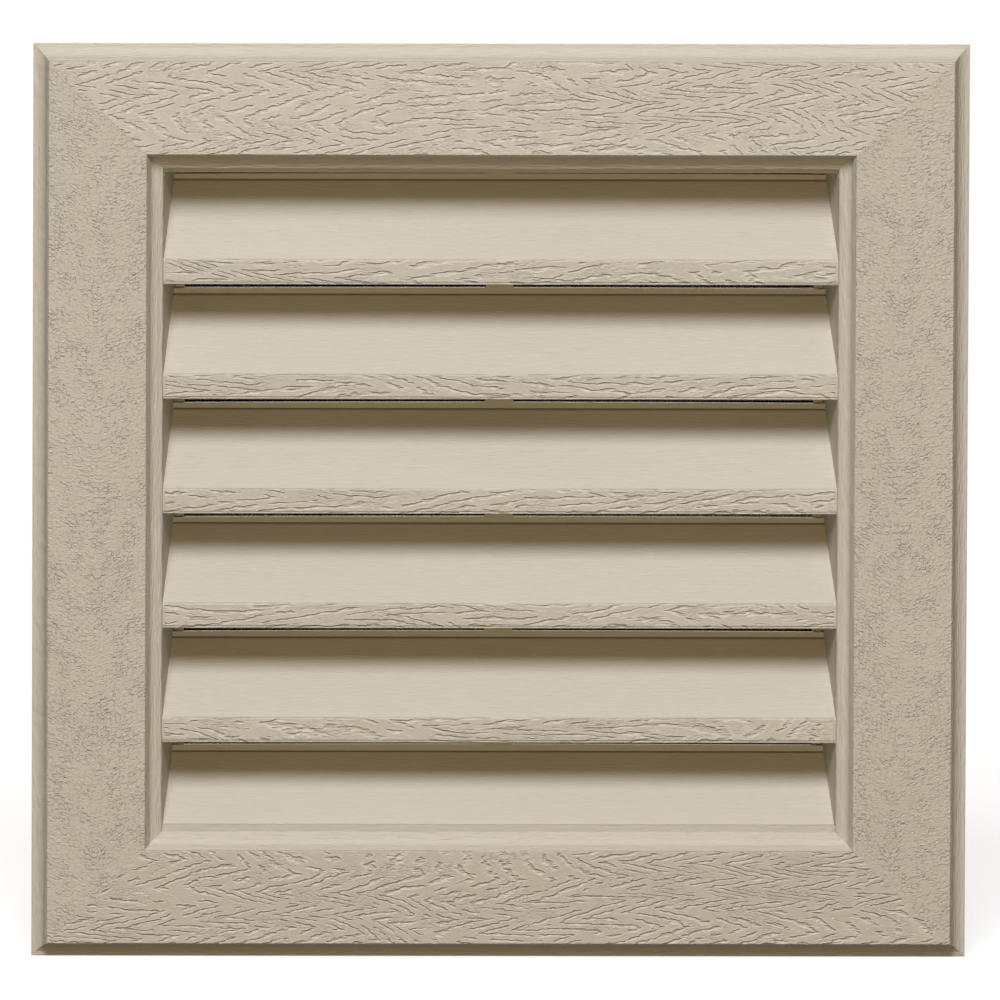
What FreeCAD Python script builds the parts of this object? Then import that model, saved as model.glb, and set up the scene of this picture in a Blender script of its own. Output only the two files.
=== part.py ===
import FreeCAD, Part
import math
import os
import Sketcher

# Gable vent, moulded in one piece, with a mesh screen on its rear ledge.
# Front faces -Y, the wall plane is Y = 0, X is right and Z is up. Sizes in mm.
doc = FreeCAD.newDocument("gable_vent")
sheet = doc.addObject("Spreadsheet::Sheet", "dims")
rows = [
    # Face frame
    ("outer_width", "368.3"),
    ("outer_height", "364"),
    ("frame_depth", "8.9"),
    ("wall", "2.4"),
    ("stile_face", "38.9"),
    ("rail_face", "37.5"),
    ("edge_round", "0.6"),
    # Outer rim and cove
    ("rim_thick", "1.8"),
    ("rim_width", "1.7"),
    ("rim_seat", "4.4"),
    ("cove_width", "3.65"),
    ("cove_height", "5.5"),
    ("cove_radius", "6.2"),
    ("cove_step", "0.5"),
    ("cove_lap", "3"),
    # Inner moulding
    ("bead_setback", "6.5"),
    ("step_width", "1.1"),
    ("step_height", "3.3"),
    ("inner_cove_width", "2.9"),
    ("inner_cove_radius", "3.6"),
    ("bead_flat", "1.8"),
    ("bead_round", "0.8"),
    ("bead_lap", "3.6"),
    # Housing behind the frame
    ("nose_setback", "0.9"),
    ("lip_setback", "1.2"),
    ("head_lip", "1.55"),
    ("head_recess", "3"),
    ("sill_lip", "2.35"),
    ("box_depth", "34"),
    ("cheek_inset", "5.6"),
    ("head_inset", "1.5"),
    ("ledge_width", "3.1"),
    ("ledge_thick", "2"),
    # Louvres
    ("louvre_pitch", "45.7"),
    ("head_drop", "34.9"),
    ("sill_drop", "2.1"),
    ("nose_height", "9.6"),
    ("nose_round", "0.8"),
    ("drip_height", "1.2"),
    ("drip_setback", "0.35"),
    ("drip_round", "0.4"),
    ("slope_run", "27"),
    ("slope_rise", "28.1"),
    ("quirk_width", "0.55"),
    ("quirk_depth", "1.3"),
    ("heel_height", "0.9"),
    ("upstand_height", "2.2"),
    ("upstand_crown", "0.4"),
    ("tie_width", "11"),
    ("slat_wall", "2.2"),
    # Ribs in the hollow back
    ("rib_thick", "2"),
    ("rib_gap", "0.6"),
    ("rib_spacing", "58"),
    # Screen and its pegs
    ("screen_thick", "0.6"),
    ("screen_margin", "0.5"),
    ("screen_pitch", "21.5"),
    ("screen_bar", "7.6"),
    ("peg_diameter", "2.4"),
    ("peg_head_diameter", "4.4"),
    ("peg_head_thick", "0.8"),
    ("peg_clearance", "0.1"),
    ("peg_spacing", "80"),
    # Derived places of the frame
    ("outer_half_x", "=outer_width / 2"),
    ("outer_half_z", "=outer_height / 2"),
    ("band", "=rim_width + cove_width + cove_step"),
    ("face_half_x", "=outer_half_x - band"),
    ("face_half_z", "=outer_half_z - band"),
    ("open_half_x", "=face_half_x - stile_face"),
    ("open_half_z", "=face_half_z - rail_face"),
    ("face_back", "=frame_depth - wall"),
    ("plate_half_x", "=face_half_x - cove_lap / 2"),
    ("plate_half_z", "=face_half_z - cove_lap / 2"),
    ("plate_open_x", "=open_half_x + bead_lap / 2"),
    ("plate_open_z", "=open_half_z + bead_lap / 2"),
    ("rim_face_z", "=outer_half_z - rim_width"),
    ("cove_top_z", "=rim_face_z - cove_width"),
    ("cove_top_y", "=rim_thick + cove_height"),
    ("face_edge_y", "=frame_depth - edge_round"),
    ("face_edge_z", "=face_half_z - edge_round"),
    ("cove_end_z", "=face_half_z - cove_lap"),
    ("rim_seat_z", "=outer_half_z - rim_seat"),
    # Derived places of the inner moulding
    ("mould_width", "=step_width + inner_cove_width + bead_flat + bead_round"),
    ("bead_y", "=frame_depth - bead_setback"),
    ("bead_edge_y", "=bead_y - bead_round"),
    ("open_lap_z", "=open_half_z + bead_lap"),
    ("open_edge_z", "=open_half_z + edge_round"),
    ("step_y", "=frame_depth - step_height"),
    ("step_z", "=open_half_z - step_width"),
    ("bead_start_z", "=step_z - inner_cove_width"),
    ("bead_end_z", "=bead_start_z - bead_flat"),
    ("bead_inner_z", "=open_half_z - mould_width"),
    ("bead_knee_z", "=bead_inner_z + 1.5 * wall"),
    ("bead_back", "=wall"),
    # Derived places of the housing
    ("nose_y", "=bead_y - nose_setback"),
    ("lip_y", "=bead_y - lip_setback"),
    ("cheek_half_x", "=open_half_x - mould_width"),
    ("head_half_z", "=bead_inner_z - head_lip"),
    ("sill_half_z", "=bead_inner_z - sill_lip"),
    ("recess_half_z", "=head_half_z - head_lip"),
    ("rear_half_x", "=cheek_half_x - cheek_inset"),
    ("rear_half_z", "=head_half_z - head_inset"),
    ("shell_half_x", "=cheek_half_x + wall"),
    ("shell_half_z", "=head_half_z + wall"),
    ("shell_rear_x", "=rear_half_x + wall"),
    ("shell_rear_z", "=rear_half_z + wall"),
    ("trim_half_x", "=cheek_half_x + wall / 2"),
    ("trim_half_z", "=head_half_z + wall / 2"),
    ("trim_rear_x", "=rear_half_x + wall / 2"),
    ("trim_rear_z", "=rear_half_z + wall / 2"),
    ("ledge_half_x", "=rear_half_x - ledge_width"),
    ("ledge_half_z", "=rear_half_z - ledge_width"),
    # Derived places of the louvres
    ("louvre_count", "=floor((2 * head_half_z - head_drop + sill_drop) / louvre_pitch + 0.3)"),
    ("slat_length", "=2 * shell_half_x"),
    ("slope_length", "=sqrt(slope_run * slope_run + slope_rise * slope_rise)"),
    ("nose_cut", "=nose_round * slope_run / (slope_length + slope_rise)"),
    ("under_drop", "=slat_wall * slope_length / slope_run"),
    ("under_shift", "=slat_wall * slope_length / slope_rise"),
    ("heel_drop", "=under_drop - slat_wall * slope_rise / slope_run"),
    ("nose_top_z", "=head_half_z - head_drop"),
    ("nose_foot_z", "=nose_top_z - nose_height"),
    ("drip_y", "=nose_y - drip_setback"),
    ("drip_z", "=nose_foot_z + drip_height"),
    ("drip_curl_z", "=nose_foot_z + drip_round"),
    ("drip_curl_y", "=drip_y - drip_round"),
    ("nose_brow_z", "=nose_top_z - nose_cut"),
    ("nose_back_y", "=nose_y - slat_wall"),
    ("nose_heel_z", "=nose_top_z - heel_drop"),
    ("slope_start_y", "=nose_y - nose_cut * slope_run / slope_length"),
    ("slope_start_z", "=nose_top_z + nose_cut * slope_rise / slope_length"),
    ("crease_y", "=slope_run - nose_y"),
    ("crease_z", "=nose_top_z + slope_rise"),
    ("slat_back_y", "=crease_y + slat_wall"),
    ("quirk_y", "=crease_y - quirk_width"),
    ("quirk_fall", "=quirk_width * slope_rise / slope_run"),
    ("quirk_edge_z", "=crease_z - quirk_fall"),
    ("quirk_z", "=crease_z - quirk_depth"),
    ("heel_z", "=quirk_z - heel_height"),
    ("heel_y", "=slat_back_y - (quirk_depth + heel_height - heel_drop) * slope_run / slope_rise"),
    # Derived places of the upstands and the ties between louvres
    ("crown_radius", "=(shell_half_x * shell_half_x + upstand_crown * upstand_crown) / (2 * upstand_crown)"),
    ("tie_half_x", "=tie_width / 2"),
    ("tie_rise", "=upstand_crown - crown_radius + sqrt(crown_radius * crown_radius - tie_half_x * tie_half_x)"),
    ("upstand_root_z", "=quirk_z - heel_height / 2"),
    ("upstand_end_z", "=crease_z + upstand_height"),
    ("tie_foot_z", "=upstand_end_z + tie_rise"),
    ("tie_top_z", "=upstand_root_z + louvre_pitch"),
    # Derived places of the sill slope, counted down from the centre
    ("sill_foot_z", "=head_half_z + sill_drop"),
    ("sill_crease_z", "=sill_foot_z - slope_rise"),
    ("sill_edge_z", "=sill_crease_z + quirk_fall"),
    ("sill_quirk_z", "=sill_crease_z + quirk_depth"),
    ("sill_heel_z", "=sill_quirk_z + heel_height"),
    ("sill_back_y", "=under_shift - nose_y"),
    ("sill_root_z", "=sill_quirk_z + heel_height / 2"),
    ("sill_end_z", "=sill_crease_z - upstand_height"),
    ("sill_tie_z", "=sill_end_z - tie_rise"),
    ("sill_tie_top_z", "=(louvre_count - 1) * louvre_pitch - upstand_root_z"),
    # Derived places of the ribs, pegs and screen
    ("rib_root_y", "=face_back + wall / 2"),
    ("rib_seat_z", "=rim_seat_z + wall / 3"),
    ("rib_foot_z", "=open_half_z - bead_lap + wall / 3"),
    ("rib_seat_x", "=outer_half_x - rim_seat + wall / 3"),
    ("rib_foot_x", "=open_half_x - bead_lap + wall / 3"),
    ("rib_face_x", "=face_half_x - cove_lap + wall / 3"),
    ("rib_face_z", "=face_half_z - cove_lap + wall / 3"),
    ("rib_lap_x", "=open_half_x + bead_lap - wall / 3"),
    ("rib_lap_z", "=open_half_z + bead_lap - wall / 3"),
    ("rib_count_x", "=floor(2 * open_half_x / rib_spacing) + 1"),
    ("rib_count_z", "=floor(2 * open_half_z / rib_spacing) + 1"),
    ("rib_start_x", "=(rib_count_x - 1) / 2 * rib_spacing"),
    ("rib_start_z", "=(rib_count_z - 1) / 2 * rib_spacing"),
    ("peg_line_x", "=(ledge_half_x + shell_rear_x) / 2"),
    ("peg_line_z", "=(ledge_half_z + shell_rear_z) / 2"),
    ("peg_count_x", "=floor(2 * ledge_half_x / peg_spacing) + 1"),
    ("peg_count_z", "=floor(2 * ledge_half_z / peg_spacing)"),
    ("peg_start_x", "=(peg_count_x - 1) / 2 * peg_spacing"),
    ("peg_start_z", "=(peg_count_z - 1) / 2 * peg_spacing"),
    ("peg_radius", "=peg_diameter / 2"),
    ("peg_head_radius", "=peg_head_diameter / 2"),
    ("peg_hole_radius", "=peg_radius + peg_clearance"),
    ("screen_back", "=box_depth + screen_thick"),
    ("screen_half_x", "=shell_rear_x - screen_margin"),
    ("screen_half_z", "=shell_rear_z - screen_margin"),
    ("mesh_count_x", "=floor((2 * ledge_half_x - screen_bar) / screen_pitch)"),
    ("mesh_count_z", "=floor((2 * ledge_half_z - screen_bar) / screen_pitch)"),
    ("mesh_near_x", "=mesh_count_x * screen_pitch / 2 - screen_bar / 2"),
    ("mesh_far_x", "=mesh_near_x - screen_pitch + screen_bar"),
    ("mesh_near_z", "=mesh_count_z * screen_pitch / 2 - screen_bar / 2"),
    ("mesh_far_z", "=mesh_near_z - screen_pitch + screen_bar"),
]
for number, (alias, text) in enumerate(rows, 1):
    sheet.set("A%d" % number, alias)
    sheet.set("B%d" % number, text)
    sheet.setAlias("B%d" % number, alias)
doc.recompute()


# Sketch helpers: a term is the name of a size, with a minus in front where it counts backwards
def value(term):
    size = float(getattr(sheet, term.lstrip("-")))
    return -size if term.startswith("-") else size


def bound(term):
    return "-dims." + term[1:] if term.startswith("-") else "dims." + term


def origin_part(body, role):
    return [item for item in body.Origin.OriginFeatures if item.Role == role][0]


def new_sketch(body, name, role, shift=None):
    sketch = body.newObject("Sketcher::SketchObject", name)
    sketch.AttachmentSupport = [(origin_part(body, role), "")]
    sketch.MapMode = "FlatFace"
    if shift:
        sketch.setExpression("AttachmentOffset.Base.z", bound(shift))
    return sketch


def drive(sketch, constraint, term):
    index = sketch.addConstraint(constraint)
    sketch.setExpression("Constraints[%d]" % index, bound(term))


def pin(sketch, geo, pos, across, up):
    for kind, term, axis in (("DistanceX", across, -2), ("DistanceY", up, -1)):
        if term == "0":
            sketch.addConstraint(Sketcher.Constraint("PointOnObject", geo, pos, axis))
        else:
            drive(sketch, Sketcher.Constraint(kind, -1, 1, geo, pos, value(term)), term)


# Closed outline through pinned corners: arcs maps a corner's number to (radius, turn) of its next edge
def outline(sketch, corners, arcs=None):
    arcs = arcs or {}
    spots = []
    for across, up in corners:
        spots.append(FreeCAD.Vector(0 if across == "0" else value(across), 0 if up == "0" else value(up), 0))
    ends = []
    for number, start in enumerate(spots):
        stop = spots[(number + 1) % len(spots)]
        if number in arcs:
            term, turn = arcs[number]
            radius = value(term)
            chord = stop.sub(start)
            side = FreeCAD.Vector(-chord.y, chord.x, 0).normalize() * turn
            rise = math.sqrt(max(radius * radius - chord.Length * chord.Length / 4, 0))
            centre = start + chord * 0.5 + side * rise
            first, last = (start, stop) if turn > 0 else (stop, start)
            low = math.atan2(first.y - centre.y, first.x - centre.x)
            high = math.atan2(last.y - centre.y, last.x - centre.x)
            circle = Part.Circle(centre, FreeCAD.Vector(0, 0, 1), radius)
            geo = sketch.addGeometry(Part.ArcOfCircle(circle, low, high), False)
            ends.append((geo, 1, 2) if turn > 0 else (geo, 2, 1))
        else:
            geo = sketch.addGeometry(Part.LineSegment(start, stop), False)
            ends.append((geo, 1, 2))
    for number, (geo, begin, end) in enumerate(ends):
        after, after_begin, after_end = ends[(number + 1) % len(ends)]
        sketch.addConstraint(Sketcher.Constraint("Coincident", geo, end, after, after_begin))
    for number, (geo, begin, end) in enumerate(ends):
        pin(sketch, geo, begin, corners[number][0], corners[number][1])
    for number, (term, turn) in arcs.items():
        drive(sketch, Sketcher.Constraint("Radius", ends[number][0], value(term)), term)


def rectangle(sketch, half_x, half_z):
    outline(sketch, [
        ("-" + half_x, "-" + half_z),
        (half_x, "-" + half_z),
        (half_x, half_z),
        ("-" + half_x, half_z),
    ])


# Closed path that starts at the middle of its lower side
def loop(sketch, half_x, half_z):
    outline(sketch, [
        ("0", "-" + half_z),
        (half_x, "-" + half_z),
        (half_x, half_z),
        ("-" + half_x, half_z),
        ("-" + half_x, "-" + half_z),
    ])


def circle(sketch, across, up, radius):
    place = FreeCAD.Vector(value(across), value(up), 0)
    geo = sketch.addGeometry(Part.Circle(place, FreeCAD.Vector(0, 0, 1), value(radius)), False)
    pin(sketch, geo, 3, across, up)
    drive(sketch, Sketcher.Constraint("Radius", geo, value(radius)), radius)


# Feature helpers
def pad(body, name, sketch, length, side="One side", back=False):
    feature = body.newObject("PartDesign::Pad", name)
    feature.Profile = sketch
    feature.SideType = side
    feature.Reversed = back
    feature.setExpression("Length", bound(length))
    return feature


def cut(body, name, sketch, length):
    feature = body.newObject("PartDesign::Pocket", name)
    feature.Profile = sketch
    feature.setExpression("Length", bound(length))
    return feature


def row(body, name, original, role, count, spacing, back=False):
    feature = body.newObject("PartDesign::LinearPattern", name)
    feature.Originals = [original]
    feature.Direction = (origin_part(body, role), [""])
    feature.Mode = "Spacing"
    feature.Reversed = back
    feature.setExpression("Occurrences", bound(count))
    feature.setExpression("Offset", bound(spacing))
    body.Tip = feature
    return feature


# Rows of rows, across and up
def grid(body, name, original, count_x, count_z, spacing):
    feature = body.newObject("PartDesign::MultiTransform", name)
    feature.Originals = [original]
    steps = []
    for role, count in (("X_Axis", count_x), ("Z_Axis", count_z)):
        step = body.newObject("PartDesign::LinearPattern", "%s_%s" % (name, role[0].lower()))
        step.Direction = (origin_part(body, role), [""])
        step.Mode = "Spacing"
        step.setExpression("Occurrences", bound(count))
        step.setExpression("Offset", bound(spacing))
        steps.append(step)
    feature.Transformations = steps
    body.Tip = feature
    return feature


def sweep(body, name, profile, spine):
    feature = body.newObject("PartDesign::AdditivePipe", name)
    feature.Profile = profile
    feature.Spine = (spine, ["Edge%d" % (n + 1) for n in range(spine.GeometryCount)])
    feature.Transition = "Right corner"
    return feature


def loft(body, name, kind, first, second):
    feature = body.newObject("PartDesign::" + kind, name)
    feature.Profile = first
    feature.Sections = [second]
    feature.Ruled = True
    return feature


# Face of the frame: a flat ring, wider at the stiles than at the rails
frame = doc.addObject("PartDesign::Body", "frame")
face_sketch = new_sketch(frame, "face_sketch", "XZ_Plane", "frame_depth")
rectangle(face_sketch, "plate_half_x", "plate_half_z")
rectangle(face_sketch, "plate_open_x", "plate_open_z")
pad(frame, "face", face_sketch, "wall", back=True)

# Outer edge: rear seat, thin rim, hollow cove and rounded face edge, swept round with mitred corners
rim_path = new_sketch(frame, "rim_path", "XZ_Plane")
loop(rim_path, "outer_half_x", "outer_half_z")
cove_sketch = new_sketch(frame, "cove_sketch", "YZ_Plane")
outline(cove_sketch, [
    ("0", "-outer_half_z"),
    ("-rim_thick", "-outer_half_z"),
    ("-rim_thick", "-rim_face_z"),
    ("-cove_top_y", "-cove_top_z"),
    ("-face_edge_y", "-face_half_z"),
    ("-frame_depth", "-face_edge_z"),
    ("-frame_depth", "-cove_end_z"),
    ("-face_back", "-cove_end_z"),
    ("0", "-rim_seat_z"),
], {2: ("cove_radius", 1), 4: ("edge_round", -1)})
sweep(frame, "outer_cove", cove_sketch, rim_path)

# Inner edge: rounded face edge, steep step, small cove and flat bead with a rounded lip
bead_path = new_sketch(frame, "bead_path", "XZ_Plane")
loop(bead_path, "open_half_x", "open_half_z")
bead_sketch = new_sketch(frame, "bead_sketch", "YZ_Plane")
outline(bead_sketch, [
    ("-frame_depth", "-open_lap_z"),
    ("-frame_depth", "-open_edge_z"),
    ("-face_edge_y", "-open_half_z"),
    ("-step_y", "-step_z"),
    ("-bead_y", "-bead_start_z"),
    ("-bead_y", "-bead_end_z"),
    ("-bead_edge_y", "-bead_inner_z"),
    ("bead_back", "-bead_inner_z"),
    ("bead_back", "-bead_knee_z"),
    ("-face_back", "-open_lap_z"),
], {1: ("edge_round", -1), 3: ("inner_cove_radius", 1), 5: ("bead_round", -1)})
sweep(frame, "inner_moulding", bead_sketch, bead_path)

# Housing: four drafted walls from the bead back into the wall opening
shell_front = new_sketch(frame, "shell_front", "XZ_Plane", "lip_y")
rectangle(shell_front, "shell_half_x", "shell_half_z")
shell_rear = new_sketch(frame, "shell_rear", "XZ_Plane", "-box_depth")
rectangle(shell_rear, "shell_rear_x", "shell_rear_z")
loft(frame, "housing", "AdditiveLoft", shell_front, shell_rear)
hollow_front = new_sketch(frame, "hollow_front", "XZ_Plane", "lip_y")
outline(hollow_front, [
    ("-cheek_half_x", "-sill_half_z"),
    ("cheek_half_x", "-sill_half_z"),
    ("cheek_half_x", "head_half_z"),
    ("-cheek_half_x", "head_half_z"),
])
hollow_rear = new_sketch(frame, "hollow_rear", "XZ_Plane", "-box_depth")
rectangle(hollow_rear, "rear_half_x", "rear_half_z")
loft(frame, "housing_hollow", "SubtractiveLoft", hollow_front, hollow_rear)

# Head of the opening, set back under the bead
recess_sketch = new_sketch(frame, "recess_sketch", "XZ_Plane", "bead_y")
outline(recess_sketch, [
    ("-cheek_half_x", "recess_half_z"),
    ("cheek_half_x", "recess_half_z"),
    ("cheek_half_x", "bead_inner_z"),
    ("-cheek_half_x", "bead_inner_z"),
])
cut(frame, "head_step", recess_sketch, "head_recess")

# Rear ledge: an inward flange that carries the screen
ledge_sketch = new_sketch(frame, "ledge_sketch", "XZ_Plane", "-box_depth")
rectangle(ledge_sketch, "shell_rear_x", "shell_rear_z")
rectangle(ledge_sketch, "ledge_half_x", "ledge_half_z")
pad(frame, "ledge", ledge_sketch, "ledge_thick")

# Ribs across the hollow back of the rails and stiles
rail_ribs = new_sketch(frame, "rail_rib_sketch", "YZ_Plane", "-rib_start_x")
for sign in ("", "-"):
    outline(rail_ribs, [
        ("-rib_root_y", sign + "rib_face_z"),
        ("-rib_gap", sign + "rib_seat_z"),
        ("-rib_gap", sign + "rib_foot_z"),
        ("-rib_root_y", sign + "rib_lap_z"),
    ])
rail_rib = pad(frame, "rail_rib", rail_ribs, "rib_thick", "Symmetric")
row(frame, "rail_rib_row", rail_rib, "X_Axis", "rib_count_x", "rib_spacing")
stile_ribs = new_sketch(frame, "stile_rib_sketch", "XY_Plane", "-rib_start_z")
for sign in ("", "-"):
    outline(stile_ribs, [
        (sign + "rib_face_x", "-rib_root_y"),
        (sign + "rib_seat_x", "-rib_gap"),
        (sign + "rib_foot_x", "-rib_gap"),
        (sign + "rib_lap_x", "-rib_root_y"),
    ])
stile_rib = pad(frame, "stile_rib", stile_ribs, "rib_thick", "Symmetric")
row(frame, "stile_rib_row", stile_rib, "Z_Axis", "rib_count_z", "rib_spacing")

# Pegs on the ledge, flattened over the screen
for name, shift, radius, length in (
    ("peg", "-box_depth", "peg_radius", "screen_thick"),
    ("peg_head", "-screen_back", "peg_head_radius", "peg_head_thick"),
):
    rail_pegs = new_sketch(frame, "rail_%s_sketch" % name, "XZ_Plane", shift)
    circle(rail_pegs, "-peg_start_x", "peg_line_z", radius)
    circle(rail_pegs, "-peg_start_x", "-peg_line_z", radius)
    rail_peg = pad(frame, "rail_" + name, rail_pegs, length, back=True)
    row(frame, "rail_%s_row" % name, rail_peg, "X_Axis", "peg_count_x", "peg_spacing")
    side_pegs = new_sketch(frame, "side_%s_sketch" % name, "XZ_Plane", shift)
    circle(side_pegs, "peg_line_x", "-peg_start_z", radius)
    circle(side_pegs, "-peg_line_x", "-peg_start_z", radius)
    side_peg = pad(frame, "side_" + name, side_pegs, length, back=True)
    row(frame, "side_%s_row" % name, side_peg, "Z_Axis", "peg_count_z", "peg_spacing")

# Louvres: a hanging nose with a drip lip, a slope behind it and a small quirk at its head
louvres = doc.addObject("PartDesign::Body", "louvres")
slat_sketch = new_sketch(louvres, "slat_sketch", "YZ_Plane")
outline(slat_sketch, [
    ("-drip_y", "drip_curl_z"),
    ("-drip_y", "drip_z"),
    ("-nose_y", "drip_z"),
    ("-nose_y", "nose_brow_z"),
    ("-slope_start_y", "slope_start_z"),
    ("quirk_y", "quirk_edge_z"),
    ("crease_y", "quirk_z"),
    ("slat_back_y", "quirk_z"),
    ("slat_back_y", "heel_z"),
    ("heel_y", "heel_z"),
    ("-nose_back_y", "nose_heel_z"),
    ("-nose_back_y", "nose_foot_z"),
    ("-drip_curl_y", "nose_foot_z"),
], {3: ("nose_round", -1), 12: ("drip_round", -1)})
slat = pad(louvres, "slat", slat_sketch, "slat_length", "Symmetric")
row(louvres, "slat_row", slat, "Z_Axis", "louvre_count", "louvre_pitch", back=True)

# Lowest slope: no nose, it runs into the sill
sill_sketch = new_sketch(louvres, "sill_sketch", "YZ_Plane")
outline(sill_sketch, [
    ("-nose_y", "-sill_foot_z"),
    ("quirk_y", "-sill_edge_z"),
    ("crease_y", "-sill_quirk_z"),
    ("slat_back_y", "-sill_quirk_z"),
    ("slat_back_y", "-sill_heel_z"),
    ("heel_y", "-sill_heel_z"),
    ("sill_back_y", "-sill_foot_z"),
])
pad(louvres, "sill_slope", sill_sketch, "slat_length", "Symmetric")


# Upstand along a slope's rear edge, crowned, with a tie at mid-length up to the louvre above
def upstand(name, root, end, foot, top):
    sketch = new_sketch(louvres, name + "_sketch", "XZ_Plane", "-crease_y")
    outline(sketch, [
        ("-shell_half_x", root),
        ("shell_half_x", root),
        ("shell_half_x", end),
        ("tie_half_x", foot),
        ("tie_half_x", top),
        ("-tie_half_x", top),
        ("-tie_half_x", foot),
        ("-shell_half_x", end),
    ], {2: ("crown_radius", 1), 6: ("crown_radius", 1)})
    return pad(louvres, name, sketch, "slat_wall", back=True)


slat_upstand = upstand("upstand", "upstand_root_z", "upstand_end_z", "tie_foot_z", "tie_top_z")
row(louvres, "upstand_row", slat_upstand, "Z_Axis", "louvre_count", "louvre_pitch", back=True)
upstand("sill_upstand", "-sill_root_z", "-sill_end_z", "-sill_tie_z", "-sill_tie_top_z")

# Slat ends end inside the drafted walls
bounds = doc.addObject("PartDesign::Body", "slat_bounds")
bounds_front = new_sketch(bounds, "bounds_front", "XZ_Plane", "bead_y")
rectangle(bounds_front, "trim_half_x", "trim_half_z")
bounds_rear = new_sketch(bounds, "bounds_rear", "XZ_Plane", "-box_depth")
rectangle(bounds_rear, "trim_rear_x", "trim_rear_z")
loft(bounds, "bounds_block", "AdditiveLoft", bounds_front, bounds_rear)
stack = doc.addObject("Part::Common", "louvre_stack")
stack.Base = louvres
stack.Tool = bounds

# Whole moulding
vent = doc.addObject("Part::MultiFuse", "vent_body")
vent.Label = "vent_body"
vent.Shapes = [frame, stack]
vent.Refine = True

# Insect screen: a thin sheet on the ledge, pierced for the pegs, its mesh as a coarse grid
screen = doc.addObject("PartDesign::Body", "insect_screen")
screen.Label = "insect_screen"
sheet_sketch = new_sketch(screen, "sheet_sketch", "XZ_Plane", "-box_depth")
rectangle(sheet_sketch, "screen_half_x", "screen_half_z")
pad(screen, "mesh_sheet", sheet_sketch, "screen_thick", back=True)
rail_holes = new_sketch(screen, "rail_hole_sketch", "XZ_Plane", "-box_depth")
circle(rail_holes, "-peg_start_x", "peg_line_z", "peg_hole_radius")
circle(rail_holes, "-peg_start_x", "-peg_line_z", "peg_hole_radius")
rail_hole = cut(screen, "rail_hole", rail_holes, "screen_thick")
row(screen, "rail_hole_row", rail_hole, "X_Axis", "peg_count_x", "peg_spacing")
side_holes = new_sketch(screen, "side_hole_sketch", "XZ_Plane", "-box_depth")
circle(side_holes, "peg_line_x", "-peg_start_z", "peg_hole_radius")
circle(side_holes, "-peg_line_x", "-peg_start_z", "peg_hole_radius")
side_hole = cut(screen, "side_hole", side_holes, "screen_thick")
row(screen, "side_hole_row", side_hole, "Z_Axis", "peg_count_z", "peg_spacing")
mesh_sketch = new_sketch(screen, "mesh_sketch", "XZ_Plane", "-box_depth")
outline(mesh_sketch, [
    ("-mesh_near_x", "-mesh_near_z"),
    ("-mesh_far_x", "-mesh_near_z"),
    ("-mesh_far_x", "-mesh_far_z"),
    ("-mesh_near_x", "-mesh_far_z"),
])
mesh_opening = cut(screen, "mesh_opening", mesh_sketch, "screen_thick")
grid(screen, "mesh_openings", mesh_opening, "mesh_count_x", "mesh_count_z", "screen_pitch")

doc.recompute()

# Test every feature, then write one STEP file per piece
grid_steps = doc.getObject("mesh_openings").Transformations
for item in doc.Objects:
    if "Invalid" in item.State or "Error" in item.State:
        raise RuntimeError("feature failed: " + item.Name)
    if item in grid_steps:
        continue
    if hasattr(item, "Shape") and not item.isDerivedFrom("Sketcher::SketchObject"):
        if item.isDerivedFrom("PartDesign::Feature") or item.isDerivedFrom("Part::MultiFuse"):
            if item.Shape.isNull() or not item.Shape.isValid():
                raise RuntimeError("bad shape: " + item.Name)
os.makedirs("parts", exist_ok=True)
for item in (vent, screen):
    if len(item.Shape.Solids) != 1:
        raise RuntimeError("%s has %d solids" % (item.Label, len(item.Shape.Solids)))
    item.Shape.exportStep("parts/%s.step" % item.Label)
    box = item.Shape.BoundBox
    print(item.Label, "volume %.1f" % item.Shape.Volume, "faces", len(item.Shape.Faces))
    print("  box", [round(v, 2) for v in (box.XMin, box.YMin, box.ZMin, box.XMax, box.YMax, box.ZMax)])
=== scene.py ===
import math

import bmesh
import bpy
from mathutils import Matrix, Quaternion, Vector


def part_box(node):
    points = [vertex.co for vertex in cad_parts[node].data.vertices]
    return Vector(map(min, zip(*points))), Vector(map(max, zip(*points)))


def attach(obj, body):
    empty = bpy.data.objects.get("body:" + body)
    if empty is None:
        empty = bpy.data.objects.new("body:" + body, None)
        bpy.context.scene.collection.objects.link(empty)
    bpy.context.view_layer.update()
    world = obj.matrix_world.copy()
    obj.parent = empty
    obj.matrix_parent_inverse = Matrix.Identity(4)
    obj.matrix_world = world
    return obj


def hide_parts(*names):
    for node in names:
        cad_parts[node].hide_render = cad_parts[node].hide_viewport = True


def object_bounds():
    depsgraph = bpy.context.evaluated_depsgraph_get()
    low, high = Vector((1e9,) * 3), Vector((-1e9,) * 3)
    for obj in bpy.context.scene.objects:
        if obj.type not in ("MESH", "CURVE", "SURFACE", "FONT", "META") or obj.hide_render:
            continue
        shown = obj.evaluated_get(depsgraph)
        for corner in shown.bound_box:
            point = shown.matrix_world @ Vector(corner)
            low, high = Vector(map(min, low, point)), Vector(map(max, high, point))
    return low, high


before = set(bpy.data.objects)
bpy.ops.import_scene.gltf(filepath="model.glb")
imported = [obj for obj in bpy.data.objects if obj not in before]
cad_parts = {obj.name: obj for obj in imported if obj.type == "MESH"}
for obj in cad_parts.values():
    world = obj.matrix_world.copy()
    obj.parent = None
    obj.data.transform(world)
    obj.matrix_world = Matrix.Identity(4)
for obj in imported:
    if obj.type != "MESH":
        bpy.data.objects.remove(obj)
cad_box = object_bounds()
scene = bpy.context.scene
scene.view_settings.view_transform = "Standard"

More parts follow.
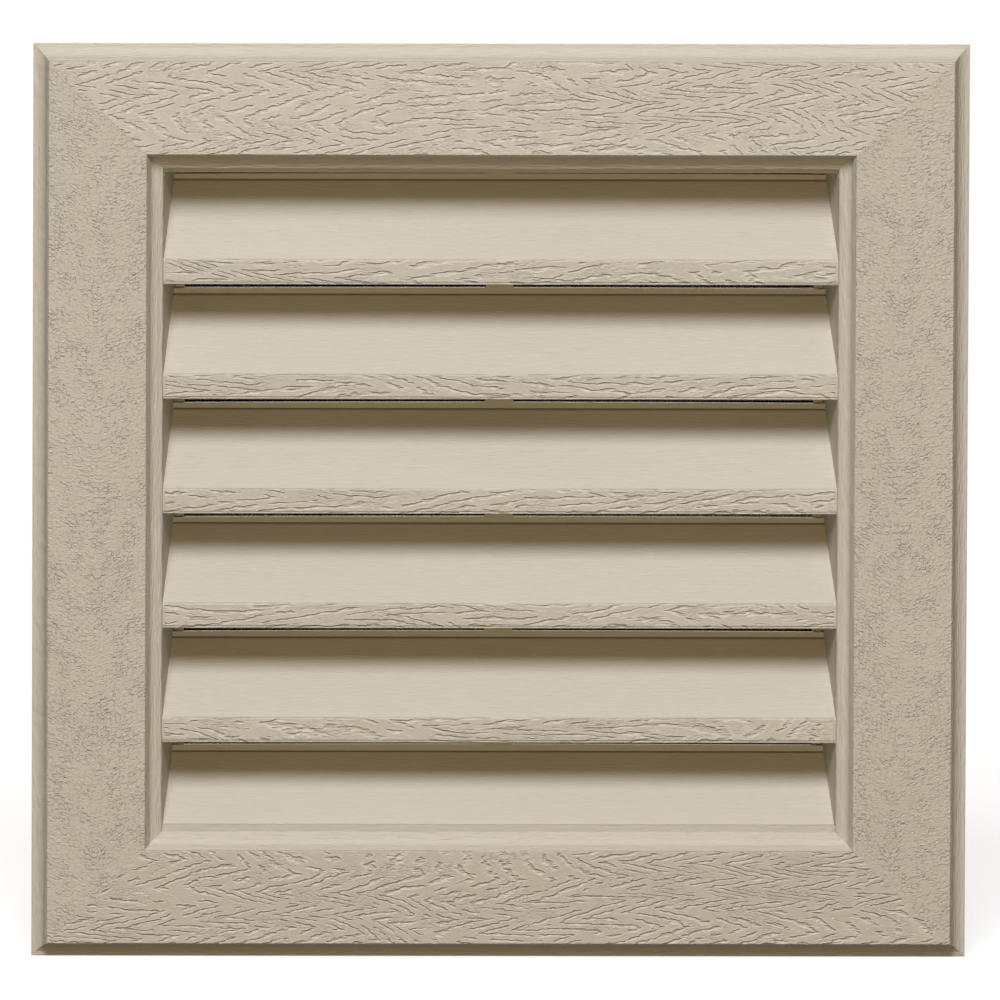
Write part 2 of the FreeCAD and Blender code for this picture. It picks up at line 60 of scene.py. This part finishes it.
# Vent body: surround, louvres and housing moulded in one piece of matt clay-beige polymer.
# The mould embosses wood grain: flame figure along the rails, long waves on the noses, short
# pits on the stiles and streaks along the mouldings. Its rim beds on the wall.
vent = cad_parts["vent_body"]
CLAY_BEIGE = (0.500, 0.458, 0.384, 1.0)
# Deep clay tone for the random clouding, also used as painted shade in the cut lines
CLAY_DEEP_AND_GROOVE_SHADE = (0.405, 0.358, 0.282, 1.0)
# Painted highlight: pale colour for the flanks beside the cut lines
PAINTED_HIGHLIGHT_PALE = (0.620, 0.575, 0.500, 1.0)
# Painted shade colour for the line in the crease behind each slope
PAINTED_CREASE_SHADE = (0.130, 0.105, 0.068, 1.0)
CLAY_ROUGHNESS = 0.6
CLAY_GLOSS = 0.28
MILLIMETRES = 1000.0

# Places in millimetres: the opening's corner and the mitre from it, a stile's middle, the louvres and depths
OPENING_HALF = (139.4, 138.65)
MITRE_SLOPE = 37.5 / 38.9
STILE_MIDDLE = 158.85
RECESS_HALF = 131.9
SILL_TOP = -115.0
LOUVRE_PITCH = 45.7
FACE_Y = (-8.85, -8.5)
NOSE_Y = (-1.3, -0.8)
WALL_Y = (-0.6, 0.2)
DEPTH_SHARE = 0.8

# Bead, rim and face lean a little: start from the middle along X and Z, width and slope
LEANS = (((132.8, 132.05), 2.6, 0.42), ((182.45, 180.3), 1.7, -0.2), (OPENING_HALF, 38.9, -0.055))

# Flame figure in millimetres: width of a flame, slope of its lines on frame and louvres, lines apart and
# their shifts. The top rail's middle is nearly straight-grained.
FLAME_WIDE = 7.0
FRAME_SLOPE = FLAME_WIDE / 25.0
LOUVRE_SLOPE = FLAME_WIDE / 60.0
FLAME_WANDER = 22.4
LINES_APART = 2.9
LINE_WANDER = 9.8
LINE_PATCH = 3.5
LINE_SHAKE = 2.0
STRAIGHT_HALF = 45.0
STRAIGHT_SHARE = 0.65

# Cut of the lines, wrinkles and pits: depth and half width in millimetres, then ranges of noise and shares
GROOVE_DEPTH = 0.42
GROOVE_HALF = 0.75
GROOVE_FLOOR = 0.1
FLANK_HALF = 1.7 * GROOVE_HALF
RIDGE_SHARE = -0.25
WHOLE_LINE = (0.40, 0.50)
WRINKLE_HALF = 0.07
TORN_PATCH = (0.50, 0.58)
TORN_SHARE = 0.3
PIT_HIGH = (0.55, 0.73)
PIT_LOW = (0.27, 0.45, 1.0, 0.0)
PIT_PATCH = (0.40, 0.62, 0.32, 0.7)
PIT_SWAY = 18.0
PIT_SHAKE = 3.0
SLOPE_SHARE = 0.12
PEBBLE_DEPTH = 0.14
STREAK_DEPTH = 0.34

# Noise sizes in millimetres across and along a board; three values are for rail, stile and louvre
WANDER_SIZE = (26.0, 75.0)
SWAY_SIZE = (45.0, 70.0)
SHAKE_ACROSS = 1.3
SHAKE_ALONG = (3.0, 3.0, 4.6)
PATCH_ACROSS = 8.0
PATCH_ALONG = (16.0, 9.0, 15.0)
BREAK_ACROSS = (3.2, 1.1, 3.0)
BREAK_ALONG = (11.0, 2.6, 12.0)
PEBBLE_SIZE = 0.8
STREAK_LONGER = 4.5
SEEDS = {"wander": 1.7, "shake": 4.8, "sway": 9.4, "break": 12.9, "patch": 17.2, "pebble": 23.5}

# Clouding of the colour: shares of pebble and sway, the share of painted shade in the cut lines, and a start
# below none
CLOUD_PEBBLE = 0.6
CLOUD_SWAY = 0.2
GROOVE_SHADE_SHARE = 0.15
CLOUD_START = -0.1

# Painted shade line in the crease behind each slope: place of the top one, then ranges of height about it
CREASE_Y = 25.5
CREASE_Y_HALF = 0.15
CREASE_Z = 123.7
CREASE_TOP = (0.15, 0.45, 1.0, 0.0)
CREASE_FADE = (-0.7, -0.1, 0.4, 1.0)
CREASE_FOOT = -0.75


def shader_tree(name):
    material = bpy.data.materials.new(name)
    material.use_nodes = True
    tree = material.node_tree
    tree.nodes.clear()
    return material, tree


def feed(tree, socket, term):
    if isinstance(term, bpy.types.NodeSocket):
        tree.links.new(term, socket)
    else:
        socket.default_value = term


def to_surface(tree, shader):
    out = tree.nodes.new("ShaderNodeOutputMaterial")
    tree.links.new(shader.outputs[0], out.inputs["Surface"])


def calc(tree, operation, *terms):
    node = tree.nodes.new("ShaderNodeMath")
    node.operation = operation
    for socket, term in zip(node.inputs, terms):
        feed(tree, socket, term)
    return node.outputs[0]


def pick(tree, switch, on, off):
    """The term on where the switch is 1, and off where it is 0."""
    return calc(tree, "MULTIPLY_ADD", switch, calc(tree, "SUBTRACT", on, off), off)


def ease(tree, term, start, stop, low=0.0, high=1.0):
    """A smooth step from low at start to high at stop."""
    node = tree.nodes.new("ShaderNodeMapRange")
    node.interpolation_type = "SMOOTHSTEP"
    names = ("Value", "From Min", "From Max", "To Min", "To Max")
    for name, part in zip(names, (term, start, stop, low, high)):
        feed(tree, node.inputs[name], part)
    return node.outputs["Result"]


def mottle(tree, across, along, size_across, size_along, seed, detail=1.0):
    """Noise between 0 and 1, drawn out along the board."""
    place = tree.nodes.new("ShaderNodeCombineXYZ")
    feed(tree, place.inputs["X"], calc(tree, "DIVIDE", along, size_along))
    feed(tree, place.inputs["Y"], calc(tree, "DIVIDE", across, size_across))
    feed(tree, place.inputs["Z"], SEEDS[seed])
    node = tree.nodes.new("ShaderNodeTexNoise")
    node.inputs["Scale"].default_value = 1.0
    node.inputs["Detail"].default_value = detail
    node.inputs["Roughness"].default_value = 0.55
    tree.links.new(place.outputs[0], node.inputs["Vector"])
    return node.outputs[0]


def groove(tree, away, half_width):
    """1 on a line and 0 beside it."""
    return ease(tree, away, half_width * GROOVE_FLOOR, half_width, 1.0, 0.0)


def clay_polymer():
    material, tree = shader_tree("clay_polymer")
    place = tree.nodes.new("ShaderNodeTexCoord")
    scale = tree.nodes.new("ShaderNodeVectorMath")
    scale.operation = "SCALE"
    scale.inputs["Scale"].default_value = MILLIMETRES
    tree.links.new(place.outputs["Object"], scale.inputs[0])
    split = tree.nodes.new("ShaderNodeSeparateXYZ")
    tree.links.new(scale.outputs[0], split.inputs[0])
    x, y, z = split.outputs
    side_x = calc(tree, "ABSOLUTE", x)
    side_z = calc(tree, "ABSOLUTE", z)

    # Where a point lies: inside the opening, on a stile past the mitre, on the face, a nose or a moulding
    inside = calc(tree, "MULTIPLY", calc(tree, "LESS_THAN", side_x, RECESS_HALF),
                  calc(tree, "LESS_THAN", side_z, RECESS_HALF))
    outside = calc(tree, "SUBTRACT", 1.0, inside)
    mitre = calc(tree, "MULTIPLY", calc(tree, "SUBTRACT", side_x, OPENING_HALF[0]), MITRE_SLOPE)
    past_mitre = calc(tree, "SUBTRACT", calc(tree, "SUBTRACT", side_z, OPENING_HALF[1]), mitre)
    stile = calc(tree, "MULTIPLY", calc(tree, "LESS_THAN", past_mitre, 0.0), outside)
    louvre = calc(tree, "MULTIPLY", inside, calc(tree, "GREATER_THAN", z, SILL_TOP))
    face = ease(tree, y, *FACE_Y, 1.0, 0.0)
    nose = calc(tree, "MULTIPLY", louvre, ease(tree, y, *NOSE_Y, 1.0, 0.0))
    figured = calc(tree, "MAXIMUM", face, nose)
    drawn = calc(tree, "SUBTRACT", 1.0, figured)
    behind = calc(tree, "MULTIPLY", ease(tree, y, *WALL_Y), outside)

    def by_zone(on_rail, on_stile, on_louvre):
        value = calc(tree, "MULTIPLY_ADD", stile, on_stile - on_rail, on_rail)
        return calc(tree, "MULTIPLY_ADD", inside, on_louvre - on_rail, value)

    # The board's own directions: rails and louvres run along X, stiles along Z
    along = pick(tree, stile, z, x)
    across = calc(tree, "MULTIPLY_ADD", y, DEPTH_SHARE, pick(tree, stile, x, z))

    # Flame figure: lines that zigzag across the board, warped and ragged
    wander = calc(tree, "SUBTRACT", mottle(tree, across, along, *WANDER_SIZE, "wander", 0.0), 0.5)
    sway = mottle(tree, across, along, *SWAY_SIZE, "sway", 0.0)
    shake = mottle(tree, across, along, SHAKE_ACROSS, by_zone(*SHAKE_ALONG), "shake")
    shake = calc(tree, "SUBTRACT", shake, 0.5)
    patch = mottle(tree, across, along, PATCH_ACROSS, by_zone(*PATCH_ALONG), "patch")
    middle = calc(tree, "MAXIMUM", calc(tree, "MINIMUM", x, STRAIGHT_HALF), -STRAIGHT_HALF)
    middle = calc(tree, "MULTIPLY", middle, calc(tree, "GREATER_THAN", z, OPENING_HALF[1]))
    straight = calc(tree, "MULTIPLY_ADD", middle, -STRAIGHT_SHARE, along)
    rank = calc(tree, "PINGPONG", calc(tree, "MULTIPLY_ADD", wander, FLAME_WANDER, across), FLAME_WIDE)
    rank = calc(tree, "MULTIPLY_ADD", straight, pick(tree, inside, LOUVRE_SLOPE, FRAME_SLOPE), rank)
    for shift, size in ((wander, LINE_WANDER), (patch, LINE_PATCH), (shake, LINE_SHAKE)):
        rank = calc(tree, "MULTIPLY_ADD", shift, size, rank)
    away = calc(tree, "PINGPONG", rank, LINES_APART / 2)

    # Pits on the stiles lean in from both edges to the middle, so they share the noise that breaks the lines
    from_middle = calc(tree, "SUBTRACT", side_x, STILE_MIDDLE + PIT_SWAY / 2)
    from_middle = calc(tree, "MULTIPLY_ADD", sway, PIT_SWAY, from_middle)
    to_middle = calc(tree, "ABSOLUTE", calc(tree, "MULTIPLY_ADD", shake, PIT_SHAKE, from_middle))
    break_across = pick(tree, stile, calc(tree, "SUBTRACT", z, to_middle), across)
    break_along = pick(tree, stile, calc(tree, "ADD", z, to_middle), along)
    broken = mottle(tree, break_across, break_along, by_zone(*BREAK_ACROSS), by_zone(*BREAK_ALONG), "break")
    pits = calc(tree, "SUBTRACT", ease(tree, broken, *PIT_HIGH), ease(tree, broken, *PIT_LOW))
    pits = calc(tree, "MULTIPLY", pits, ease(tree, patch, *PIT_PATCH))

    # Lines with raised flanks where they are whole, and torn wrinkles in patches between them
    whole = ease(tree, broken, *WHOLE_LINE)
    rings = calc(tree, "MULTIPLY", groove(tree, away, GROOVE_HALF), whole)
    flank = calc(tree, "MULTIPLY", groove(tree, away, FLANK_HALF), whole)
    ridge = calc(tree, "MULTIPLY", calc(tree, "SUBTRACT", flank, rings), calc(tree, "SUBTRACT", 1.0, stile))
    wrinkle = ease(tree, calc(tree, "ABSOLUTE", shake), 0.0, WRINKLE_HALF, 1.0, 0.0)
    torn = calc(tree, "MULTIPLY", wrinkle, ease(tree, patch, *TORN_PATCH))
    lines = calc(tree, "MULTIPLY_ADD", torn, TORN_SHARE, calc(tree, "MULTIPLY_ADD", ridge, RIDGE_SHARE, rings))
    depth = calc(tree, "MAXIMUM", figured, calc(tree, "MULTIPLY", louvre, SLOPE_SHARE))
    cut = calc(tree, "MULTIPLY", pick(tree, stile, pits, lines), depth)

    # Finer grain: pebble on the figured faces, streaks along mouldings and slopes, none behind the wall plane
    streak_along = calc(tree, "MULTIPLY_ADD", drawn, STREAK_LONGER, PEBBLE_SIZE)
    pebble = mottle(tree, across, along, PEBBLE_SIZE, streak_along, "pebble")
    streak = calc(tree, "MULTIPLY_ADD", calc(tree, "MULTIPLY", drawn, outside), STREAK_DEPTH, PEBBLE_DEPTH)
    streak = calc(tree, "MULTIPLY", streak, calc(tree, "SUBTRACT", 1.0, behind))
    relief = calc(tree, "MULTIPLY_ADD", pebble, streak, calc(tree, "MULTIPLY", cut, -GROOVE_DEPTH))
    side = pick(tree, stile, side_x, side_z)
    for half, wide, slope in LEANS:
        outward = calc(tree, "SUBTRACT", side, pick(tree, stile, *half))
        outward = calc(tree, "MINIMUM", calc(tree, "MAXIMUM", outward, 0.0), wide)
        relief = calc(tree, "MULTIPLY_ADD", outward, slope, relief)
    bump = tree.nodes.new("ShaderNodeBump")
    bump.inputs["Strength"].default_value = 1.0
    bump.inputs["Distance"].default_value = 1.0 / MILLIMETRES
    tree.links.new(relief, bump.inputs["Height"])

    # Colour: faint clouding and streaks with painted shade in the cut lines, a painted highlight beside them,
    # and a painted shade line in the crease behind each slope
    def tint(factor, colour, other):
        mix = tree.nodes.new("ShaderNodeMix")
        mix.data_type = "RGBA"
        tree.links.new(factor, mix.inputs[0])
        feed(tree, mix.inputs[6], colour)
        feed(tree, mix.inputs[7], other)
        return mix.outputs[2]

    clouds_and_groove_shade = calc(tree, "MULTIPLY_ADD", pebble, CLOUD_PEBBLE,
                  calc(tree, "MULTIPLY_ADD", sway, CLOUD_SWAY, CLOUD_START))
    # Painted shade: the cut lines on the face and noses are darkened toward the deep tone
    clouds_and_groove_shade = calc(tree, "MULTIPLY_ADD", calc(tree, "MULTIPLY", rings, figured), GROOVE_SHADE_SHARE, clouds_and_groove_shade)
    # Painted highlight on the flanks beside the cut lines of the face and noses
    colour = tint(calc(tree, "MULTIPLY", ridge, figured), tint(clouds_and_groove_shade, CLAY_BEIGE, CLAY_DEEP_AND_GROOVE_SHADE), PAINTED_HIGHLIGHT_PALE)
    # Painted shade: a dark line at the foot of the wall behind each slope, repeated at each louvre
    above = calc(tree, "WRAP", calc(tree, "SUBTRACT", z, CREASE_Z), LOUVRE_PITCH / 2, -LOUVRE_PITCH / 2)
    crease_shade = calc(tree, "MULTIPLY", ease(tree, above, *CREASE_TOP), ease(tree, above, *CREASE_FADE))
    crease_shade = calc(tree, "MULTIPLY", crease_shade, calc(tree, "GREATER_THAN", above, CREASE_FOOT))
    at_wall = calc(tree, "COMPARE", y, CREASE_Y, CREASE_Y_HALF)
    crease_shade = calc(tree, "MULTIPLY", crease_shade, calc(tree, "MULTIPLY", at_wall, inside))
    shader = tree.nodes.new("ShaderNodeBsdfPrincipled")
    shader.inputs["Roughness"].default_value = CLAY_ROUGHNESS
    shader.inputs["Specular IOR Level"].default_value = CLAY_GLOSS
    tree.links.new(tint(crease_shade, colour, PAINTED_CREASE_SHADE), shader.inputs["Base Color"])
    tree.links.new(bump.outputs[0], shader.inputs["Normal"])
    to_surface(tree, shader)
    return material


vent.material_slots[0].material = clay_polymer()

# Insect screen: a fine mesh of dark coated strands, bonded where they cross.
# It lies on the housing's rear ledge under the flattened heads of the pegs.
screen_low, screen_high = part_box("insect_screen")
STRAND_PITCH = 0.0016
STRAND_WIDE = 0.00034
STRAND_DARK = (0.020, 0.020, 0.021, 1.0)
STRAND_ROUGHNESS = (0.45, 0.7)
SPECK_SCALE = 900.0
SPECK_RANGE = (0.3, 0.7)


def strand(mesh, low, high):
    size = high - low
    place = Matrix.Translation((low + high) / 2) @ Matrix.Diagonal((*size, 1.0))
    bmesh.ops.create_cube(mesh, size=1.0, matrix=place)


def add_piece(name, mesh):
    data = bpy.data.meshes.new(name)
    mesh.to_mesh(data)
    mesh.free()
    piece = bpy.data.objects.new(name, data)
    scene.collection.objects.link(piece)
    return piece


def screen_piece():
    mesh = bmesh.new()
    middle = (screen_low.y + screen_high.y) / 2
    for axis, depth in ((0, (screen_low.y, middle)), (2, (middle, screen_high.y))):
        span = screen_high[axis] - screen_low[axis] - STRAND_WIDE
        count = round(span / STRAND_PITCH)
        for number in range(count + 1):
            start = screen_low[axis] + span * number / count
            low, high = screen_low.copy(), screen_high.copy()
            low.y, high.y = depth
            low[axis] = start
            high[axis] = start + STRAND_WIDE
            strand(mesh, low, high)
    return add_piece("screen_mesh", mesh)


def strand_coating():
    material, tree = shader_tree("strand_coating")
    place = tree.nodes.new("ShaderNodeTexCoord")
    speck = tree.nodes.new("ShaderNodeTexNoise")
    speck.inputs["Scale"].default_value = SPECK_SCALE
    tree.links.new(place.outputs["Object"], speck.inputs["Vector"])
    shader = tree.nodes.new("ShaderNodeBsdfPrincipled")
    shader.inputs["Base Color"].default_value = STRAND_DARK
    tree.links.new(ease(tree, speck.outputs[0], *SPECK_RANGE, *STRAND_ROUGHNESS), shader.inputs["Roughness"])
    to_surface(tree, shader)
    return material


screen = screen_piece()
screen.data.materials.append(strand_coating())
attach(screen, "root")
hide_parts("insect_screen")

# Stage: a pale floor under the bottom edge that turns to plain white further out, and a black card of painted
# shade on the back of the screen, standing for the unlit roof space that the slots look into. The card shows
# from the front alone.
FLOOR_SIZE = 12.0
FLOOR_PALE = (0.34, 0.34, 0.34, 1.0)
FLOOR_BOUNCE = (0.10, 0.08, 0.055, 1.0)
FLOOR_LIFT = 0.72
FLOOR_FADE = (0.35, 1.1)
CARD_BACK = 0.0001


def sheet_piece(name, across, up, place):
    mesh = bmesh.new()
    bmesh.ops.create_grid(mesh, x_segments=1, y_segments=1, size=1.0,
                          matrix=place @ Matrix.Diagonal((across, up, 1.0, 1.0)))
    piece = add_piece(name, mesh)
    return piece


def looked_at(tree):
    """1 for rays that show the stage: from the camera, in gloss or through glass."""
    path = tree.nodes.new("ShaderNodeLightPath")
    seen = calc(tree, "MAXIMUM", path.outputs["Is Camera Ray"], path.outputs["Is Glossy Ray"])
    return calc(tree, "MAXIMUM", seen, path.outputs["Is Transmission Ray"])


def mix_shaders(tree, factor, first, second):
    mix = tree.nodes.new("ShaderNodeMixShader")
    feed(tree, mix.inputs[0], factor)
    tree.links.new(first.outputs[0], mix.inputs[1])
    tree.links.new(second.outputs[0], mix.inputs[2])
    return mix


def floor_paint():
    material, tree = shader_tree("floor_paint")
    place = tree.nodes.new("ShaderNodeTexCoord")
    length = tree.nodes.new("ShaderNodeVectorMath")
    length.operation = "LENGTH"
    tree.links.new(place.outputs["Object"], length.inputs[0])
    pale = tree.nodes.new("ShaderNodeBsdfDiffuse")
    pale.inputs["Color"].default_value = FLOOR_PALE
    lift = tree.nodes.new("ShaderNodeEmission")
    lift.inputs["Strength"].default_value = FLOOR_LIFT
    both = tree.nodes.new("ShaderNodeAddShader")
    tree.links.new(pale.outputs[0], both.inputs[0])
    tree.links.new(lift.outputs[0], both.inputs[1])
    white = tree.nodes.new("ShaderNodeEmission")
    near = mix_shaders(tree, ease(tree, length.outputs["Value"], *FLOOR_FADE), both, white)
    dim = tree.nodes.new("ShaderNodeBsdfDiffuse")
    dim.inputs["Color"].default_value = FLOOR_BOUNCE
    to_surface(tree, mix_shaders(tree, looked_at(tree), dim, near))
    return material


# Painted shade: a black sheet, seen only by camera rays from the front, for the unlit space behind the slots
def shade_card():
    material, tree = shader_tree("shade_card")
    path = tree.nodes.new("ShaderNodeLightPath")
    side = tree.nodes.new("ShaderNodeNewGeometry")
    shown = calc(tree, "MULTIPLY", path.outputs["Is Camera Ray"],
                 calc(tree, "SUBTRACT", 1.0, side.outputs["Backfacing"]))
    clear = tree.nodes.new("ShaderNodeBsdfTransparent")
    dark = tree.nodes.new("ShaderNodeEmission")
    dark.inputs["Strength"].default_value = 0.0
    to_surface(tree, mix_shaders(tree, shown, clear, dark))
    return material


floor = sheet_piece("floor", FLOOR_SIZE, FLOOR_SIZE, Matrix.Translation((0.0, 0.0, cad_box[0].z)))
floor.data.materials.append(floor_paint())
card_place = Matrix.Translation((0.0, screen_high.y + CARD_BACK, 0.0)) @ Matrix.Rotation(math.pi / 2, 4, "X")
card = sheet_piece("card", screen_high.x, screen_high.z, card_place)
card.data.materials.append(shade_card())

# Light: one soft daylight key from the front and above, a little to the left, a weak warm fill from
# beside the camera, a low one behind for the back, and the warm room around.
# Each lamp: name, distance, azimuth and elevation in degrees, size, watts and colour
LAMPS = (
    ("key", 4.2, -5.5, 45.0, 1.75, 202.0, (0.87, 0.91, 1.0)),
    ("front", 9.0, 0.0, 6.0, 2.0, 185.0, (1.0, 0.80, 0.47)),
    ("back", 3.5, 180.0, 20.0, 1.2, 45.0, (1.0, 0.97, 0.90)),
)
FILL_WARM = (1.0, 0.80, 0.47, 1.0)
FILL_STRENGTH = 0.2
ROOM_WHITE = (1.0, 1.0, 1.0, 1.0)


def around(distance, azimuth, elevation):
    turn, rise = math.radians(azimuth), math.radians(elevation)
    level = math.cos(rise)
    return Vector((math.sin(turn) * level, -math.cos(turn) * level, math.sin(rise))) * distance


def disc_lamp(name, place, size, watts, colour):
    light = bpy.data.lights.new(name, "AREA")
    light.shape = "DISK"
    light.size = size
    light.energy = watts
    light.color = colour
    lamp = bpy.data.objects.new(name, light)
    lamp.location = place
    lamp.rotation_euler = (-place).to_track_quat("-Z", "Y").to_euler()
    scene.collection.objects.link(lamp)


for name, distance, azimuth, elevation, size, watts, colour in LAMPS:
    disc_lamp(name, around(distance, azimuth, elevation), size, watts, colour)

world = bpy.data.worlds.new("studio")
world.use_nodes = True
room = world.node_tree
room.nodes.clear()
fill = room.nodes.new("ShaderNodeBackground")
fill.inputs["Color"].default_value = FILL_WARM
fill.inputs["Strength"].default_value = FILL_STRENGTH
white = room.nodes.new("ShaderNodeBackground")
white.inputs["Color"].default_value = ROOM_WHITE
room_out = room.nodes.new("ShaderNodeOutputWorld")
room.links.new(mix_shaders(room, looked_at(room), fill, white).outputs[0], room_out.inputs["Surface"])
scene.world = world

# Camera: a long lens from a little above and to the left, filling the frame as the photograph does
CAMERA_DISTANCE = 16.0
CAMERA_ELEVATION = 9.3
CAMERA_AZIMUTH = -1.0
CAMERA_ROLL = math.radians(0.25)
FRAME_WIDTH = 0.3937
SENSOR = 36.0
CLIP_END = 100.0
AIM = Vector((-0.0001, -0.0089, 0.0015))

lens = bpy.data.cameras.new("camera")
lens.sensor_width = SENSOR
lens.lens = SENSOR * CAMERA_DISTANCE / FRAME_WIDTH
lens.clip_end = CLIP_END
camera = bpy.data.objects.new("camera", lens)
away = around(CAMERA_DISTANCE, CAMERA_AZIMUTH, CAMERA_ELEVATION)
camera.location = AIM + away
turn = (-away).to_track_quat("-Z", "Y") @ Quaternion((0.0, 0.0, 1.0), CAMERA_ROLL)
camera.rotation_euler = turn.to_euler()
scene.collection.objects.link(camera)
scene.camera = camera
